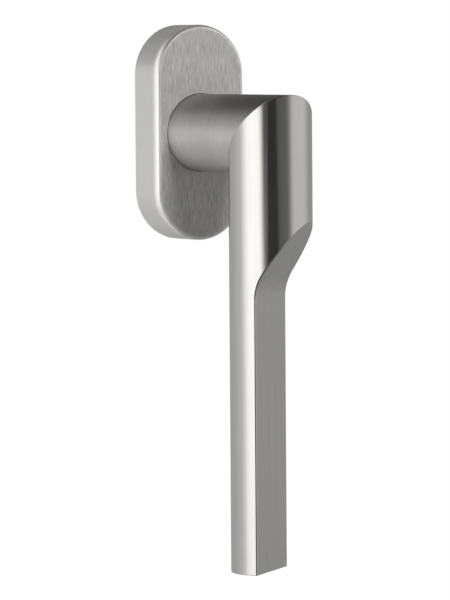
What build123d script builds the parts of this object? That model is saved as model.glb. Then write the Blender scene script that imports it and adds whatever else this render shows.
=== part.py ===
from build123d import *
import os
from math import cos, radians, sin, sqrt, tan

# A window handle: a stadium-shaped rosette against the sash, a neck that stands out of it,
# and a bar that hangs from the neck, cut away on one side as a half-round grip.
# The origin is the spindle's axis at the sash face. +Y points into the sash, -Y into the room,
# +Z is up and +X is to the right as seen from the room. "Depth" is the distance from the sash
# face towards the room. All lengths are in millimetres and all angles in degrees.

# Rosette cover
rosette_width = 31.2
rosette_height = 67.0
rosette_depth = 14.0
rosette_wall = 1.2
rosette_edge_radius = 1.5
cover_clearance = 0.2
cover_lift = 12.0
cover_lift_margin = 2.0

# Neck and grip bar
neck_radius = 12.0
neck_oval_run = 1.5
neck_blend_steps = 4
bar_width = 25.8
bar_thickness = 24.0
grip_reach = 55.0
grip_length = 133.0
edge_break = 0.3
mitre_edge_break = 0.15
oval_end_angle = 60
cut_edge_radius = 0.5

# Half-round cut of the grip
flat_turn = 37.0
flat_past_axis = 0.2
flat_start = 50.0
cut_slope = 33.7
cut_bend_radius = 15.0

# Base plate
plate_depth = 8.0
plate_floor = 3.6
plate_rim = 1.8
plate_clearance = 0.4
snap_rib_height = 0.25
snap_rib_radius = 0.6
snap_rib_length = 6.0
hub_radius = 13.0
hub_nose_radius = 10.9
hub_nose_depth = 10.4
rib_width = 2.4

# Fixing screws and the bosses around them
fixing_spacing = 43.0
screw_radius = 2.5
screw_clearance = 0.25
screw_length = 30.0
screw_shank_radius = 2.2
screw_thread_length = 16.0
screw_head_radius = 4.6
screw_head_sink = 0.2
screw_boss_radius = 6.3
locating_boss_radius = 5.0
locating_boss_length = 5.0
recess_width = 1.0
recess_reach = 2.3
recess_depth = 2.4
recess_taper = 8.0
screw_tip_chamfer = 0.6

# Bearing
spigot_radius = 7.0
spigot_end_depth = 0.5
spigot_flats = 12.0
bush_wall = 1.55
bush_flange_radius = 10.6
bush_flange_thickness = 1.0
running_clearance = 0.05
end_play = 0.15

# Detent
ring_radius = 9.8
ring_bore_depth = 7.2
ring_thickness = 4.0
ring_groove_depth = 0.7
ring_clearance = 0.3
ball_radius = 1.75
ball_clearance = 0.1
stop_depth = 0.4
stop_count = 4
spring_wire_radius = 0.22
spring_clearance = 0.15
spring_turns = 3.5
spring_seat_radius = 16.6

# Retaining ring and disc spring behind the detent ring
circlip_thickness = 1.0
circlip_groove_radius = 6.7
circlip_width = 1.7
circlip_lug_radius = 1.3
circlip_lug_hole_radius = 0.6
circlip_gap = 3.0
disc_spring_radius = 9.5
disc_spring_thickness = 0.35
disc_spring_dish = 0.3
disc_spring_clearance = 0.2

# Sliding spindle, pushed in, and the cross pin that keeps it in the neck
spindle_size = 7.0
spindle_behind_sash = 20.0
spindle_travel = 16.0
spindle_tail = 7.2
spindle_chamfer = 1.0
pin_radius = 1.25
pin_end_gap = 0.2
pin_slot_clearance = 0.1

# Sizes worked out from the ones above
plate_width = rosette_width - 2 * (rosette_wall + plate_clearance)
plate_height = rosette_height - 2 * (rosette_wall + plate_clearance)
bush_radius = spigot_radius + bush_wall
shoulder_depth = hub_nose_depth + bush_flange_thickness + end_play
ring_front_depth = ring_bore_depth - end_play
ring_back_depth = ring_front_depth - ring_thickness
ring_bore_radius = ring_radius + ring_clearance
ball_depth = (ring_front_depth + ring_back_depth) / 2
groove_floor_radius = ring_radius - ring_groove_depth
ball_height = groove_floor_radius + running_clearance + ball_radius
disc_spring_front = ring_back_depth - running_clearance
circlip_front_depth = disc_spring_front - disc_spring_thickness - disc_spring_dish - running_clearance
pin_depth = (ring_bore_depth + hub_nose_depth) / 2
spindle_in_neck = pin_depth + spindle_travel + spindle_tail
neck_straight_end = rosette_depth + cover_lift + cover_lift_margin
neck_oval_start = grip_reach - bar_thickness / 2 - neck_oval_run


def room_plane(depth):
    """Plane parallel to the sash at a depth: its x is +X, its y is +Z, and it faces the room."""
    return Plane(origin=(0, -depth, 0), x_dir=(1, 0, 0), z_dir=(0, -1, 0))


def stadium(width, height):
    """Upright outline with half-round ends."""
    return SlotOverall(height, width, rotation=90)


def oval(width, height):
    """Nearly round outline of four arcs that meet tangent: two round ends and two flatter flanks."""
    end_angle = radians(oval_end_angle)
    offset = (width - height) / 2 / (1 + tan(end_angle) - 1 / cos(end_angle))
    end_radius = width / 2 - offset
    flank_radius = end_radius + offset / cos(end_angle)
    flank_offset = offset * tan(end_angle)
    end_sweep = 2 * oval_end_angle
    flank_sweep = 180 - end_sweep
    arcs = [
        CenterArc((offset, 0), end_radius, -oval_end_angle, end_sweep),
        CenterArc((0, -flank_offset), flank_radius, oval_end_angle, flank_sweep),
        CenterArc((-offset, 0), end_radius, 180 - oval_end_angle, end_sweep),
        CenterArc((0, flank_offset), flank_radius, 180 + oval_end_angle, flank_sweep),
    ]
    return make_face(arcs)


def disc(radius, back, front, x=0, z=0):
    """Round block along the spindle's axis, from one depth to another."""
    return extrude(room_plane(back) * Pos(x, z) * Circle(radius), front - back)


def fixing_heights():
    return [-fixing_spacing / 2, fixing_spacing / 2]


def mitre_plane():
    """Plane that the neck and the bar meet in, facing down and towards the room."""
    normal = (0, -bar_thickness, -bar_thickness)
    return Plane(origin=(0, -grip_reach, 0), x_dir=(1, 0, 0), z_dir=normal)


def rosette_cover():
    """Thin-walled cap with a round hole for the neck, open towards the sash."""
    cap = extrude(room_plane(0) * stadium(rosette_width, rosette_height), rosette_depth)
    front_edges = cap.faces().sort_by(Axis.Y)[0].edges()
    cap = fillet(front_edges, rosette_edge_radius)
    cavity_outline = stadium(rosette_width - 2 * rosette_wall, rosette_height - 2 * rosette_wall)
    cavity = extrude(room_plane(0) * cavity_outline, rosette_depth - rosette_wall)
    neck_hole = disc(neck_radius + cover_clearance, 0, rosette_depth + 1)
    return cap - cavity - neck_hole


def snap_ribs():
    """Half-round ribs on the plate's two long sides, which hold the cover by its walls."""
    rib_x = plate_width / 2 + snap_rib_height - snap_rib_radius
    ribs = Part()
    for side in (-1, 1):
        for height in (-fixing_spacing / 4, fixing_spacing / 4):
            rib = Pos(side * rib_x, -plate_depth / 2, height) * Cylinder(snap_rib_radius, snap_rib_length)
            ribs += rib
    return ribs


def screw_countersink(height):
    """Clearance hole through plate and boss with a conical mouth for the screw's head."""
    hole_radius = screw_radius + screw_clearance
    mouth_radius = screw_head_radius + screw_clearance
    cone_depth = mouth_radius - hole_radius
    hole = disc(hole_radius, -locating_boss_length - 1, plate_depth + 1, z=height)
    mouth = loft([
        room_plane(plate_depth - cone_depth) * Pos(0, height) * Circle(hole_radius),
        room_plane(plate_depth) * Pos(0, height) * Circle(mouth_radius),
    ])
    return hole + mouth


def detent_pocket(direction):
    """Round pocket that runs up or down from the bore and holds a ball and its spring."""
    length = spring_seat_radius - groove_floor_radius
    centre = direction * (groove_floor_radius + length / 2)
    return Pos(0, -ball_depth, centre) * Cylinder(ball_radius + ball_clearance, length)


def base_plate():
    """Die-cast plate inside the cover: rim, hub, ribs and screw bosses, open between them."""
    plate = extrude(room_plane(0) * stadium(plate_width, plate_height), plate_depth)
    well_outline = stadium(plate_width - 2 * plate_rim, plate_height - 2 * plate_rim)
    plate -= extrude(room_plane(plate_floor) * well_outline, plate_depth)
    spine = room_plane(0) * Rectangle(rib_width, plate_height - plate_rim)
    plate += extrude(spine, plate_depth)
    housing_width = 2 * (ball_radius + rib_width)
    housing = room_plane(0) * Rectangle(housing_width, 2 * (spring_seat_radius + rib_width / 2))
    plate += extrude(housing, plate_depth)
    plate += disc(hub_radius, 0, plate_depth)
    plate += disc(hub_nose_radius, plate_depth, hub_nose_depth)
    for height in fixing_heights():
        plate += disc(screw_boss_radius, 0, plate_depth, z=height)
        plate += disc(locating_boss_radius, -locating_boss_length, 0, z=height)
    plate += snap_ribs()
    for height in fixing_heights():
        plate -= screw_countersink(height)
    plate -= disc(ring_bore_radius, -1, ring_bore_depth)
    plate -= disc(bush_radius + running_clearance, 0, hub_nose_depth + 1)
    for direction in (-1, 1):
        plate -= detent_pocket(direction)
    return plate


def bearing_bush():
    """Flanged plain bush, pressed into the hub from the room side."""
    sleeve = disc(bush_radius, ring_bore_depth, hub_nose_depth)
    flange = disc(bush_flange_radius, hub_nose_depth, hub_nose_depth + bush_flange_thickness)
    bore = disc(spigot_radius + running_clearance, 0, rosette_depth)
    return sleeve + flange - bore


def fixing_screw(height):
    """Countersunk machine screw with a cross recess, its length measured over the head."""
    top = plate_depth - screw_head_sink
    tip = top - screw_length
    head_cone = screw_head_radius - screw_shank_radius
    thread = disc(screw_radius, tip, tip + screw_thread_length, z=height)
    end_faces = thread.faces().filter_by(Axis.Y)
    thread = chamfer(end_faces.edges(), screw_tip_chamfer)
    shank = disc(screw_shank_radius, tip + screw_thread_length, top - head_cone, z=height)
    head = loft([
        room_plane(top - head_cone) * Pos(0, height) * Circle(screw_shank_radius),
        room_plane(top) * Pos(0, height) * Circle(screw_head_radius),
    ])
    cross = Rectangle(recess_width, 2 * recess_reach) + Rectangle(2 * recess_reach, recess_width)
    recess = extrude(room_plane(top) * Pos(0, height) * cross, -recess_depth, taper=recess_taper)
    return thread + shank + head - recess


def fixing_screws():
    return Compound(children=[fixing_screw(height) for height in fixing_heights()])


def detent_ball(direction):
    """Steel ball that the spring presses into a stop of the detent ring."""
    return Pos(0, -ball_depth, direction * ball_height) * Sphere(ball_radius)


def detent_spring(direction):
    """Short coil spring between a ball and the end of its pocket."""
    coil_radius = ball_radius - spring_wire_radius - spring_clearance
    ball_reach = ball_radius + spring_wire_radius + running_clearance
    first_coil = ball_height + sqrt(ball_reach**2 - coil_radius**2)
    last_coil = spring_seat_radius - spring_wire_radius - running_clearance
    length = last_coil - first_coil
    path = Helix(pitch=length / spring_turns, height=length, radius=coil_radius)
    section = Plane(origin=path @ 0, z_dir=path % 0) * Circle(spring_wire_radius)
    spring = sweep(section, path=path)
    spring = Pos(0, -ball_depth, first_coil) * spring
    if direction < 0:
        spring = spring.rotate(Axis((0, -ball_depth, 0), (0, 1, 0)), 180)
    return spring


def detent_ring():
    """Index ring on the spigot's flats: a ball groove round it with a deeper seat at each stop."""
    ring = disc(ring_radius, ring_back_depth, ring_front_depth)
    hole = double_d(running_clearance, ring_back_depth - 1, ring_front_depth + 1)
    ring -= hole
    groove_section_radius = ball_radius + ball_clearance
    groove_centre = groove_floor_radius + groove_section_radius
    section = Plane.XY * Pos(groove_centre, -ball_depth) * Circle(groove_section_radius)
    ring -= revolve(section, Axis.Y, 360)
    seat_radius = groove_centre - stop_depth
    for stop in range(stop_count):
        angle = radians(90 + stop * 360 / stop_count)
        seat = Pos(seat_radius * cos(angle), -ball_depth, seat_radius * sin(angle))
        ring -= seat * Sphere(groove_section_radius)
    return ring


def double_d(clearance, back, front):
    """Spigot section with two flats, grown by a clearance."""
    outline = Circle(spigot_radius + clearance)
    outline &= Rectangle(spigot_flats + 2 * clearance, 4 * spigot_radius)
    return extrude(room_plane(back) * outline, front - back)


def disc_spring():
    """Dished washer that takes up the play between the detent ring and the retaining ring."""
    inner = spigot_radius + disc_spring_clearance
    front = -disc_spring_front
    section = Polygon(
        (disc_spring_radius, front),
        (inner, front + disc_spring_dish),
        (inner, front + disc_spring_dish + disc_spring_thickness),
        (disc_spring_radius, front + disc_spring_thickness),
        align=None,
    )
    return revolve(Plane.XY * section, Axis.Y, 360)


def retaining_ring():
    """External circlip with two eyes, in the groove at the spigot's end."""
    bore_radius = circlip_groove_radius + running_clearance
    outer_radius = bore_radius + circlip_width
    lug_centre = bore_radius + circlip_lug_radius
    lug_x = circlip_gap / 2 + circlip_lug_radius
    lug_z = -sqrt(lug_centre**2 - lug_x**2)
    outline = Circle(outer_radius)
    for side in (-1, 1):
        outline += Pos(side * lug_x, lug_z) * Circle(circlip_lug_radius)
    outline -= Circle(bore_radius)
    outline -= Pos(0, -outer_radius) * Rectangle(circlip_gap, outer_radius)
    for side in (-1, 1):
        outline -= Pos(side * lug_x, lug_z) * Circle(circlip_lug_hole_radius)
    back_depth = circlip_front_depth - circlip_thickness
    return extrude(room_plane(back_depth) * outline, circlip_thickness)


def cross_hole(radius):
    """Hole or pin across the spigot, along X."""
    return Pos(0, -pin_depth, 0) * Rot(0, 90, 0) * Cylinder(radius, 4 * spigot_radius)


def spindle_bar(size, back, front):
    return extrude(room_plane(back) * Rectangle(size, size), front - back)


def neck_blend():
    """Stretch in which the round neck swells smoothly into the bar's oval."""
    sections = []
    for step in range(neck_blend_steps + 1):
        share = step / neck_blend_steps
        blend = share * share * (3 - 2 * share)
        width = 2 * neck_radius + (bar_width - 2 * neck_radius) * blend
        height = 2 * neck_radius + (bar_thickness - 2 * neck_radius) * blend
        depth = neck_straight_end + (neck_oval_start - neck_straight_end) * share
        sections.append(room_plane(depth) * oval(width, height))
    return loft(sections)


def circlip_groove():
    """Ring-shaped space that the retaining ring's groove takes out of the spigot."""
    back = circlip_front_depth - circlip_thickness - running_clearance
    front = circlip_front_depth + running_clearance
    return disc(2 * spigot_radius, back, front) - disc(circlip_groove_radius, back, front)


def neck():
    """Turned spigot and round neck that swells into the bar's oval and ends in a mitre."""
    body = disc(neck_radius, shoulder_depth, neck_straight_end) + neck_blend()
    bar_end = room_plane(neck_oval_start) * oval(bar_width, bar_thickness)
    body += extrude(bar_end, 2 * bar_thickness)
    body = split(body, bisect_by=mitre_plane(), keep=Keep.BOTTOM)
    body += disc(spigot_radius, ring_bore_depth, shoulder_depth)
    body += double_d(0, spigot_end_depth, ring_bore_depth)
    body -= circlip_groove()
    socket_size = spindle_size + 2 * running_clearance
    body -= spindle_bar(socket_size, 0, spindle_in_neck + running_clearance)
    body -= cross_hole(pin_radius + running_clearance)
    return chamfer(mitre_rim(body), mitre_edge_break)


def mitre_rim(piece):
    """Outer edges of the face that a piece turns to the mitre."""
    return piece.faces().filter_by(mitre_plane()).sort_by(SortBy.AREA)[-1].outer_wire().edges()


def spindle():
    """Square bar that slides out of the neck to the gear, along a slot for the cross pin."""
    bar = spindle_bar(spindle_size, -spindle_behind_sash, spindle_in_neck)
    tip = bar.faces().sort_by(Axis.Y)[-1]
    bar = chamfer(tip.edges(), spindle_chamfer)
    slot_outline = SlotCenterToCenter(spindle_travel, 2 * (pin_radius + pin_slot_clearance))
    slot_plane = Plane(origin=(0, -pin_depth - spindle_travel / 2, 0), x_dir=(0, 1, 0), z_dir=(1, 0, 0))
    return bar - extrude(slot_plane * slot_outline, spindle_size, both=True)


def spindle_pin():
    """Cross pin through the spigot and the spindle's slot, kept in place by the bush."""
    return Pos(0, -pin_depth, 0) * Rot(0, 90, 0) * Cylinder(pin_radius, 2 * (spigot_radius - pin_end_gap))


def half_round_cutter():
    """Block that takes the turned side off the bar: upright flat, bend and slanting run-out."""
    turn = radians(flat_turn)
    slope = radians(cut_slope)
    facing = (sin(turn), -cos(turn), 0)
    across = (-cos(turn), -sin(turn), 0)
    plane = Plane(origin=(0, -grip_reach, 0), x_dir=facing, z_dir=across)
    clear = bar_width
    below = -grip_length - 1
    flat_top = (-flat_past_axis, -flat_start)
    bend_top = (
        flat_top[0] + cut_bend_radius * (1 - cos(slope)),
        flat_top[1] + cut_bend_radius * sin(slope),
    )
    run_out = (clear, bend_top[1] + (clear - bend_top[0]) * cos(slope) / sin(slope))
    outline = [
        Line((flat_top[0], below), flat_top),
        TangentArc(flat_top, bend_top, tangent=(0, 1)),
        Line(bend_top, run_out),
        Line(run_out, (clear, below)),
        Line((clear, below), (flat_top[0], below)),
    ]
    return extrude(plane * make_face(outline), bar_width, both=True)


def grip():
    """Oval bar, mitred on top to the neck and cut half-round towards its lower end."""
    foot = Plane(origin=(0, -grip_reach, -grip_length))
    bar = extrude(foot * oval(bar_width, bar_thickness), grip_length + bar_thickness)
    bar = split(bar, bisect_by=mitre_plane(), keep=Keep.TOP)
    cutter = half_round_cutter()
    cut_bar = bar - cutter
    rim = [edge for edge in new_edges(bar, cutter, combined=cut_bar) if is_upright(edge)]
    cut_bar = fillet(rim, cut_edge_radius)
    cut_bar = fillet(cut_bar.faces().sort_by(Axis.Z)[0].edges(), edge_break)
    return chamfer(mitre_rim(cut_bar), mitre_edge_break)


def is_upright(edge):
    return edge.bounding_box().size.Z > edge_break


def main():
    os.makedirs("parts", exist_ok=True)
    pieces = {
        "rosette_cover": rosette_cover(),
        "base_plate": base_plate(),
        "bearing_bush": bearing_bush(),
        "fixing_screws": fixing_screws(),
        "upper_detent_ball": detent_ball(1),
        "lower_detent_ball": detent_ball(-1),
        "upper_detent_spring": detent_spring(1),
        "lower_detent_spring": detent_spring(-1),
        "detent_ring": detent_ring(),
        "disc_spring": disc_spring(),
        "retaining_ring": retaining_ring(),
        "neck": neck(),
        "grip": grip(),
        "spindle": spindle(),
        "spindle_pin": spindle_pin(),
    }
    for name, piece in pieces.items():
        export_step(piece, f"parts/{name}.step")


main()
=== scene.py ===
import bpy
from math import asin, cos, pi, radians, sin
from mathutils import Matrix, Vector


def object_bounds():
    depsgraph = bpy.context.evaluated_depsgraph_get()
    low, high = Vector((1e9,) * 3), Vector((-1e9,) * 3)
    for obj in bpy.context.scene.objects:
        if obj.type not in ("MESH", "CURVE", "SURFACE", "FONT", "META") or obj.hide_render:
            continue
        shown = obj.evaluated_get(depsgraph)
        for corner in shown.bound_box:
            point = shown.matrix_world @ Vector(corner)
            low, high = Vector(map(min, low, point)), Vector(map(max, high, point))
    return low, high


# Camera: where it stands, in metres, and how it is turned
camera_place = Vector((-0.657215, -1.126814, 0.025841))
camera_yaw = radians(30.876)
camera_pitch = radians(-3.459)
camera_roll = radians(-0.414)
camera_lens = 249.07
camera_sensor = 36.0

# Studio: a floor under the handle and a shell of light and dark walls that the steel mirrors
floor_gap = 0.15
floor_radius = 6.0
floor_fade_start = 0.22
floor_fade_end = 0.45
floor_colour = 0.70
floor_speckle = 0.01
floor_card_gap = 0.002
shell_radius = 1.5
world_fill = 0.8

# Lamps: name, place and width in metres, and power in watts
lamps = [
    ("soft_key", (0.03, -0.95, 0.92), 0.5, 28.0),
    ("soft_side", (-1.0, 0.03, 0.0), 0.6, 3.8),
]

# Brightness of the walls by the angle from the camera, in degrees, positive to its right
wall_bands = [
    (-180, 0.40),
    (-145, 0.46),
    (-118, 0.52),
    (-98, 0.62),
    (-90, 0.66),
    (-81, 0.74),
    (-75, 0.90),
    (-69, 1.18),
    (-62, 1.40),
    (-52, 1.55),
    (-22, 1.58),
    (-16, 1.10),
    (-11, 0.40),
    (-6, 0.07),
    (4, 0.035),
    (25, 0.03),
    (26, 0.135),
    (50, 0.15),
    (55, 0.26),
    (60, 0.52),
    (65, 0.70),
    (102, 0.70),
    (112, 0.54),
    (122, 0.40),
    (155, 0.365),
    (180, 0.40),
]

# The same for the card over the floor
floor_card_bands = [
    (-180, 0.28),
    (-150, 0.42),
    (-85, 0.50),
    (-60, 0.90),
    (-25, 0.90),
    (-5, 0.10),
    (90, 0.14),
    (120, 0.28),
    (180, 0.28),
]

# The same for the glow over the walls, and the light of the dark ceiling above it
glow_bands = [
    (-180, 0.20),
    (-150, 0.25),
    (-118, 0.28),
    (-70, 0.70),
    (-30, 0.70),
    (-5, 0.04),
    (56, 0.04),
    (72, 0.85),
    (100, 0.85),
    (125, 0.18),
    (180, 0.20),
]
ceiling_light = 0.02

# Where the walls pass into the glow, the glow into the ceiling and the walls into the floor card,
# as sines of the elevation
glow_start = 0.14
glow_full = 0.28
ceiling_start = 0.55
ceiling_full = 0.80
floor_card_start = -0.14
floor_card_full = -0.50

# Steel: its colour, the depth of its brush lines and the size of its smudges, in metres
steel_colour = (0.664, 0.655, 0.638)
brush_depth = 0.00002
smudge_size = (0.018, 0.018, 0.030)

# Rosette: where its surface passes from wall to rim and from rim to face, by how far it faces the
# room, and from long side to round end, by how far it faces up or down
wall_until = 0.25
rim_from = 0.50
rim_until = 0.85
side_until = 0.25
end_from = 0.75

# How metallic its face, wall and rim look, how bright the wall and the rim are beside plain steel,
# how much of the wall's brush lines is rubbed away, and how rough the rim is
face_metal = 0.15
wall_metal = 1.0
rim_metal = 0.90
# The wall's brightness also colours the painted highlight band on its front
wall_tone = 1.45
rim_tone = 1.25
wall_rubbing = 0.9
rim_roughness = 0.38

# Depths on its wall between which a painted highlight grows towards its front: a band in the wall's
# bright colour that scatters light instead of mirroring it
painted_highlight_start = 0.0108
painted_highlight_full = 0.0132


class Nodes:
    """A node tree, and short ways to add nodes to it."""

    def __init__(self, tree):
        self.tree = tree

    def node(self, kind, **settings):
        made = self.tree.nodes.new(kind)
        for name, value in settings.items():
            setattr(made, name, value)
        return made

    def join(self, source, target):
        self.tree.links.new(source, target)

    def feed(self, value, socket):
        """Gives a socket a number of its own, or another node's output."""
        if isinstance(value, (int, float)):
            socket.default_value = value
        else:
            self.join(value, socket)

    def math(self, operation, first, second=0.0):
        made = self.node("ShaderNodeMath", operation=operation)
        self.feed(first, made.inputs[0])
        self.feed(second, made.inputs[1])
        return made.outputs["Value"]

    def length(self, vector):
        made = self.node("ShaderNodeVectorMath", operation="LENGTH")
        self.join(vector, made.inputs[0])
        return made.outputs["Value"]

    def spread(self, value, low, high, from_low=0.3, from_high=0.7):
        """Value taken from one run to another, held at the ends. Noise mostly runs from 0.3 to 0.7."""
        made = self.node("ShaderNodeMapRange")
        made.inputs["From Min"].default_value = from_low
        made.inputs["From Max"].default_value = from_high
        made.inputs["To Min"].default_value = low
        made.inputs["To Max"].default_value = high
        self.join(value, made.inputs["Value"])
        return made.outputs["Result"]

    def blend(self, start, end, share):
        """Number between start and end, by a share from 0 to 1."""
        made = self.node("ShaderNodeMix", data_type="FLOAT")
        self.feed(start, made.inputs["A"])
        self.feed(end, made.inputs["B"])
        self.feed(share, made.inputs["Factor"])
        return made.outputs["Result"]

    def seen(self):
        """1 for what is seen straight, mirrored or through a clear piece, and 0 for what only lights."""
        rays = self.node("ShaderNodeLightPath")
        seen = self.math("MAXIMUM", rays.outputs["Is Camera Ray"], rays.outputs["Is Glossy Ray"])
        return self.math("MAXIMUM", seen, rays.outputs["Is Transmission Ray"])


class Shading(Nodes):
    """One material's node tree with its shader."""

    def __init__(self, name):
        self.material = bpy.data.materials.new(name)
        self.material.use_nodes = True
        super().__init__(self.material.node_tree)
        self.shader = self.tree.nodes["Principled BSDF"]

    def set(self, name, value):
        self.shader.inputs[name].default_value = value

    def place(self):
        """Where a point of the surface lies, in metres."""
        return self.node("ShaderNodeTexCoord").outputs["Object"]

    def axis(self, coordinate, letter):
        """One axis of a texture coordinate, such as Object or Normal."""
        axes = self.node("ShaderNodeSeparateXYZ")
        self.join(self.node("ShaderNodeTexCoord").outputs[coordinate], axes.inputs["Vector"])
        return axes.outputs[letter]

    def grain(self, size, detail=2.0, roughness=0.5):
        """Noise whose specks measure size, in metres, along X, Y and Z."""
        scaled = self.node("ShaderNodeMapping")
        scaled.inputs["Scale"].default_value = [1 / length for length in size]
        noise = self.node("ShaderNodeTexNoise")
        noise.inputs["Scale"].default_value = 1.0
        noise.inputs["Detail"].default_value = detail
        noise.inputs["Roughness"].default_value = roughness
        self.join(self.place(), scaled.inputs["Vector"])
        self.join(scaled.outputs["Vector"], noise.inputs["Vector"])
        return noise.outputs["Fac"]

    def colour(self, value, dark, light):
        """Colours the surface between dark and light, by a value from 0 to 1."""
        made = self.node("ShaderNodeMix", data_type="RGBA")
        made.inputs["A"].default_value = (*dark, 1)
        made.inputs["B"].default_value = (*light, 1)
        self.join(value, made.inputs["Factor"])
        self.join(made.outputs["Result"], self.shader.inputs["Base Color"])

    def roughen(self, value):
        """Makes the surface as rough as a value."""
        self.join(value, self.shader.inputs["Roughness"])

    def relief(self, value, strength, depth):
        """Bumps that rise with a value."""
        made = self.node("ShaderNodeBump")
        made.inputs["Strength"].default_value = strength
        made.inputs["Distance"].default_value = depth
        self.join(value, made.inputs["Height"])
        self.join(made.outputs["Normal"], self.shader.inputs["Normal"])

    def rub_colour(self, rubbed, share):
        """Turns the surface's colour to a rubbed one, by a share from 0 to 1."""
        socket = self.shader.inputs["Base Color"]
        made = self.node("ShaderNodeMix", data_type="RGBA")
        made.inputs["B"].default_value = (*rubbed, 1)
        self.join(socket.links[0].from_socket, made.inputs["A"])
        self.join(share, made.inputs["Factor"])
        self.join(made.outputs["Result"], socket)

    def rub_roughness(self, rubbed, share):
        """Turns the surface's roughness to a rubbed one, by a share from 0 to 1."""
        plain = self.shader.inputs["Roughness"].links[0].from_socket
        self.roughen(self.blend(plain, rubbed, share))


def shaded(colour, factor):
    return tuple(channel * factor for channel in colour)


def grey(brightness):
    return (brightness, brightness, brightness)


def brushed_steel(name, fine, coarse, contrast, roughness, relief, stretch, around, turned=0.0, tone=1.0):
    """Steel with fine and coarse brush lines, which run where the grain is longest.

    The lines smear what the steel mirrors across themselves: by stretch, and along circles
    around the named axis, or across those circles where turned is a quarter."""
    steel = Shading(name)
    fine_lines = steel.grain(fine, detail=3.0, roughness=0.6)
    coarse_lines = steel.grain(coarse, detail=2.0, roughness=0.5)
    lines = steel.math("MULTIPLY", steel.math("ADD", fine_lines, coarse_lines), 0.5)
    dark = shaded(steel_colour, tone * (1 - contrast))
    light = shaded(steel_colour, tone * (1 + contrast / 2))
    steel.colour(steel.spread(lines, 0.0, 1.0, from_low=0.38, from_high=0.62), dark, light)
    smudges = steel.spread(steel.grain(smudge_size, detail=3.0), low=-0.02, high=0.03)
    ridges = steel.spread(lines, low=roughness - 0.03, high=roughness + 0.05)
    steel.roughen(steel.math("ADD", ridges, smudges))
    steel.relief(lines, relief, brush_depth)
    steel.set("Metallic", 1.0)
    steel.set("Anisotropic", stretch)
    steel.set("Anisotropic Rotation", turned)
    circles = steel.node("ShaderNodeTangent", direction_type="RADIAL", axis=around)
    steel.join(circles.outputs["Tangent"], steel.shader.inputs["Tangent"])
    return steel


def rosette_steel():
    """Coarsely brushed steel that scatters most of its light on the face and mirrors it on the wall.

    The rounded rim between them is rubbed bright, and the wall's front on the long sides carries a
    painted highlight: a band in the wall's bright colour that scatters instead of mirroring."""
    steel = brushed_steel(
        "rosette_steel",
        fine=(0.00010, 0.00010, 0.003),
        coarse=(0.00020, 0.00020, 0.006),
        contrast=0.42,
        roughness=0.30,
        relief=0.5,
        stretch=0.2,
        around="Z",
        tone=0.44,
    )
    forward = steel.math("MULTIPLY", steel.axis("Normal", "Y"), -1.0)
    upright = steel.math("ABSOLUTE", steel.axis("Normal", "Z"))
    wall = steel.spread(forward, wall_rubbing, 0.0, wall_until, rim_from)
    off_wall = steel.spread(forward, 0.0, 1.0, wall_until, rim_from)
    off_face = steel.spread(forward, 1.0, 0.0, rim_until, 1.0)
    rim = steel.math("MULTIPLY", off_wall, off_face)
    # Painted highlight: a bright band on the wall's front along the long sides, which scatters the wall's
    # bright colour instead of mirroring
    near_front = steel.spread(steel.axis("Object", "Y"), 0.0, 1.0, -painted_highlight_start, -painted_highlight_full)
    long_side = steel.spread(upright, 1.0, 0.0, side_until, end_from)
    painted_highlight = steel.math("MULTIPLY", near_front, long_side)
    steel.rub_colour(shaded(steel_colour, wall_tone), wall)
    steel.rub_colour(shaded(steel_colour, rim_tone), rim)
    steel.rub_roughness(rim_roughness, rim)
    # The wall mirrors, except in the painted highlight band, where it scatters like the face
    mirroring = steel.math("MULTIPLY", wall, steel.math("SUBTRACT", 1.0, painted_highlight))
    metal = steel.blend(face_metal, wall_metal, mirroring)
    steel.join(steel.blend(metal, rim_metal, rim), steel.shader.inputs["Metallic"])
    return steel.material


def grip_steel():
    """Finely brushed steel whose lines run along the bar."""
    steel = brushed_steel(
        "grip_steel",
        fine=(0.0003, 0.0003, 0.02),
        coarse=(0.0012, 0.0012, 0.05),
        contrast=0.05,
        roughness=0.20,
        relief=0.04,
        stretch=0.5,
        around="Z",
        turned=0.25,
    )
    return steel.material


def neck_steel():
    """Steel brushed round the neck."""
    steel = brushed_steel(
        "neck_steel",
        fine=(0.01, 0.00025, 0.01),
        coarse=(0.02, 0.0008, 0.02),
        contrast=0.08,
        roughness=0.46,
        relief=0.15,
        stretch=0.8,
        around="Y",
        turned=0.25,
    )
    return steel.material


def cast_zinc():
    """Raw die casting: matte and grey, with a sandy skin and faint flow marks."""
    cast = Shading("cast_zinc")
    flow = cast.grain((0.006, 0.004, 0.009), detail=4.0)
    sand = cast.grain((0.0004, 0.0004, 0.0004), detail=3.0)
    cast.colour(cast.spread(flow, 0, 1), dark=(0.40, 0.41, 0.42), light=(0.56, 0.57, 0.58))
    cast.roughen(cast.spread(sand, low=0.45, high=0.62))
    cast.relief(sand, strength=0.35, depth=0.00005)
    cast.set("Metallic", 0.85)
    return cast.material


def plated_zinc():
    """Bright plating with a faint blue cast, slightly duller where it has been handled."""
    plated = Shading("plated_zinc")
    bloom = plated.grain((0.003, 0.003, 0.003), detail=3.0)
    drawn = plated.grain((0.0005, 0.004, 0.0005), detail=2.0)
    plated.colour(plated.spread(bloom, 0, 1), dark=(0.58, 0.60, 0.63), light=(0.74, 0.75, 0.76))
    plated.roughen(plated.spread(bloom, low=0.22, high=0.34))
    plated.relief(drawn, strength=0.12, depth=0.00002)
    plated.set("Metallic", 1.0)
    return plated.material


def spring_steel():
    """Dark phosphated steel, a little rubbed."""
    spring = Shading("spring_steel")
    rubbed = spring.grain((0.0015, 0.0015, 0.0015), detail=3.0)
    spring.colour(spring.spread(rubbed, 0, 1), dark=(0.16, 0.16, 0.17), light=(0.34, 0.34, 0.35))
    spring.roughen(spring.spread(rubbed, low=0.5, high=0.34))
    spring.relief(rubbed, strength=0.1, depth=0.00002)
    spring.set("Metallic", 1.0)
    return spring.material


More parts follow.
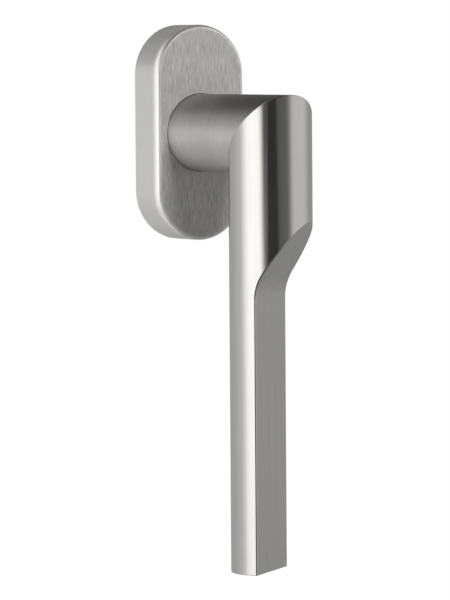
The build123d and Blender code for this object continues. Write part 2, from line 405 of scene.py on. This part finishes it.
def bearing_plastic():
    """Black moulded plastic with a fine matte skin."""
    plastic = Shading("bearing_plastic")
    skin = plastic.grain((0.0003, 0.0003, 0.0003), detail=2.0)
    cloud = plastic.grain((0.005, 0.005, 0.005), detail=3.0)
    shade = plastic.spread(cloud, 0, 1)
    plastic.colour(shade, dark=(0.028, 0.028, 0.030), light=(0.045, 0.045, 0.048))
    plastic.roughen(plastic.spread(cloud, low=0.42, high=0.55))
    plastic.relief(skin, strength=0.2, depth=0.00004)
    return plastic.material


def dress(nodes):
    """Gives every node of the frame its material."""
    plated = plated_zinc()
    spring = spring_steel()
    finishes = {
        "rosette_cover": rosette_steel(),
        "neck": neck_steel(),
        "grip": grip_steel(),
        "base_plate": cast_zinc(),
        "bearing_bush": bearing_plastic(),
        "fixing_screws": plated,
        "upper_detent_ball": plated,
        "lower_detent_ball": plated,
        "upper_detent_spring": spring,
        "lower_detent_spring": spring,
        "detent_ring": plated,
        "disc_spring": spring,
        "retaining_ring": spring,
        "spindle": plated,
        "spindle_pin": plated,
    }
    for name, finish in finishes.items():
        for slot in nodes[name].material_slots:
            slot.material = finish


def circle(radius, height, sides):
    """Points round a level circle about the upright axis."""
    turns = [2 * pi * side / sides for side in range(sides)]
    return [(radius * cos(turn), radius * sin(turn), height) for turn in turns]


def disc_mesh(name, radius, height, sides=96):
    mesh = bpy.data.meshes.new(name)
    mesh.from_pydata(circle(radius, height, sides), [], [range(sides)])
    return mesh


def dome_mesh(name, radius, lowest, sides=96, rings=32):
    """Sphere from its top down to a height."""
    start = asin(lowest / radius)
    points = []
    for ring in range(rings):
        rise = start + (pi / 2 - start) * ring / rings
        points += circle(radius * cos(rise), radius * sin(rise), sides)
    points.append((0, 0, radius))
    last = (rings - 1) * sides
    faces = []
    for low in range(0, last, sides):
        high = low + sides
        for side in range(sides):
            beside = (side + 1) % sides
            faces.append((low + side, low + beside, high + beside, high + side))
    faces += [(last + side, last + (side + 1) % sides, len(points) - 1) for side in range(sides)]
    mesh = bpy.data.meshes.new(name)
    mesh.from_pydata(points, [], faces)
    return mesh


def floor_material():
    """Pale floor that takes the handle's shadow and turns into the white background away from it."""
    floor = Shading("floor_pale")
    level = floor.node("ShaderNodeVectorMath", operation="MULTIPLY")
    level.inputs[1].default_value = (1, 1, 0)
    floor.join(floor.place(), level.inputs[0])
    distance = floor.length(level.outputs["Vector"])
    away = floor.spread(distance, 0.0, 1.0, floor_fade_start, floor_fade_end)
    speckle = floor.grain((0.004, 0.004, 0.004), detail=2.0)
    floor.colour(speckle, grey(floor_colour - floor_speckle), grey(floor_colour + floor_speckle))
    floor.set("Roughness", 0.8)
    floor.set("Specular IOR Level", 0.1)
    white = floor.node("ShaderNodeEmission")
    white.inputs["Strength"].default_value = 1.0
    mixed = floor.node("ShaderNodeMixShader")
    floor.join(floor.math("MULTIPLY", away, floor.seen()), mixed.inputs["Fac"])
    floor.join(floor.shader.outputs["BSDF"], mixed.inputs[1])
    floor.join(white.outputs["Emission"], mixed.inputs[2])
    floor.join(mixed.outputs["Shader"], floor.tree.nodes["Material Output"].inputs["Surface"])
    return floor.material


def make_floor(lowest):
    floor = bpy.data.objects.new("floor", disc_mesh("floor", floor_radius, 0.0))
    floor.location.z = lowest - floor_gap
    floor.data.materials.append(floor_material())
    bpy.context.scene.collection.objects.link(floor)


def banded_light(studio, turn, bands):
    """Brightness around the studio from a list of angles and lights."""
    ramp = studio.node("ShaderNodeValToRGB")
    studio.join(turn, ramp.inputs["Fac"])
    stops = ramp.color_ramp.elements
    while len(stops) < len(bands):
        stops.new(0.5)
    brightest = max(light for _, light in bands)
    for stop, (angle, light) in zip(stops, bands):
        stop.position = (angle + 180) / 360
        stop.color = (*grey(light / brightest), 1)
    return studio.math("MULTIPLY", ramp.outputs["Color"], brightest)


def studio_material():
    """Light of the studio by direction: walls, a glow over them, a dark ceiling and a card below."""
    studio = Shading("studio_light")
    backward = studio.math("MULTIPLY", studio.axis("Object", "Y"), -1.0)
    turn = studio.math("ARCTAN2", studio.axis("Object", "X"), backward)
    turn = studio.spread(turn, 0.0, 1.0, -pi, pi)
    rise = studio.math("DIVIDE", studio.axis("Object", "Z"), studio.length(studio.place()))
    to_glow = studio.spread(rise, 0.0, 1.0, glow_start, glow_full)
    to_ceiling = studio.spread(rise, 0.0, 1.0, ceiling_start, ceiling_full)
    to_card = studio.spread(rise, 0.0, 1.0, floor_card_start, floor_card_full)
    walls = banded_light(studio, turn, wall_bands)
    light = studio.blend(walls, banded_light(studio, turn, glow_bands), to_glow)
    light = studio.blend(light, ceiling_light, to_ceiling)
    light = studio.blend(light, banded_light(studio, turn, floor_card_bands), to_card)
    shining = studio.node("ShaderNodeEmission")
    studio.join(light, shining.inputs["Strength"])
    studio.join(shining.outputs["Emission"], studio.tree.nodes["Material Output"].inputs["Surface"])
    return studio.material


def place_studio(name, mesh, finish):
    """Adds a studio part that the camera looks through, turned to face the camera."""
    part = bpy.data.objects.new(name, mesh)
    part.rotation_euler.z = -camera_yaw
    part.data.materials.append(finish)
    part.visible_camera = False
    bpy.context.scene.collection.objects.link(part)
    return part


def make_studio(lowest):
    """Dome that lights the handle, and a card over the floor that only the steel mirrors."""
    floor_height = lowest - floor_gap
    card_height = floor_height + floor_card_gap
    finish = studio_material()
    place_studio("studio_wall", dome_mesh("studio_wall", shell_radius, floor_height), finish)
    card = place_studio("floor_card", disc_mesh("floor_card", shell_radius, card_height), finish)
    card.visible_diffuse = False
    card.visible_shadow = False
    card.visible_transmission = False


def make_world():
    """White where it is seen, and a plain even fill where it only lights."""
    world = bpy.data.worlds.new("white_studio")
    world.use_nodes = True
    sky = Nodes(world.node_tree)
    background = sky.tree.nodes["Background"]
    background.inputs["Color"].default_value = (1, 1, 1, 1)
    sky.join(sky.blend(world_fill, 1.0, sky.seen()), background.inputs["Strength"])
    bpy.context.scene.world = world


def make_lamp(name, place, width, power):
    """Soft square lamp aimed at the middle of the rosette, which the steel doesn't mirror."""
    data = bpy.data.lights.new(name, "AREA")
    data.size = width
    data.energy = power
    lamp = bpy.data.objects.new(name, data)
    lamp.location = place
    lamp.rotation_euler = (-Vector(place)).to_track_quat("-Z", "Y").to_euler()
    lamp.visible_glossy = False
    bpy.context.scene.collection.objects.link(lamp)


def make_camera():
    forward = Vector((
        sin(camera_yaw) * cos(camera_pitch),
        cos(camera_yaw) * cos(camera_pitch),
        sin(camera_pitch),
    ))
    level_right = Vector((cos(camera_yaw), -sin(camera_yaw), 0))
    level_up = level_right.cross(forward)
    right = cos(camera_roll) * level_right + sin(camera_roll) * level_up
    up = right.cross(forward)
    turned = Matrix((right, up, -forward)).transposed().to_4x4()
    data = bpy.data.cameras.new("camera")
    data.sensor_fit = "VERTICAL"
    data.sensor_height = camera_sensor
    data.lens = camera_lens
    camera = bpy.data.objects.new("camera", data)
    camera.matrix_world = Matrix.Translation(camera_place) @ turned
    bpy.context.scene.collection.objects.link(camera)
    bpy.context.scene.camera = camera


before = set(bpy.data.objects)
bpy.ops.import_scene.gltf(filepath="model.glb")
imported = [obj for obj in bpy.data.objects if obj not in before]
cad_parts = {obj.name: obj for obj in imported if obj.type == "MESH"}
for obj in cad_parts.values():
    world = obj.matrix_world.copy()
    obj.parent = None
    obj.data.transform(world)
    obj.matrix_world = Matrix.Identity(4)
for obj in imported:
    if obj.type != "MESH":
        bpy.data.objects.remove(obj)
cad_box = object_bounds()
lowest = cad_box[0][2]
make_camera()
make_world()
make_floor(lowest)
make_studio(lowest)
for name, place, width, power in lamps:
    make_lamp(name, place, width, power)
dress(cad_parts)
bpy.context.scene.view_settings.view_transform = "Standard"
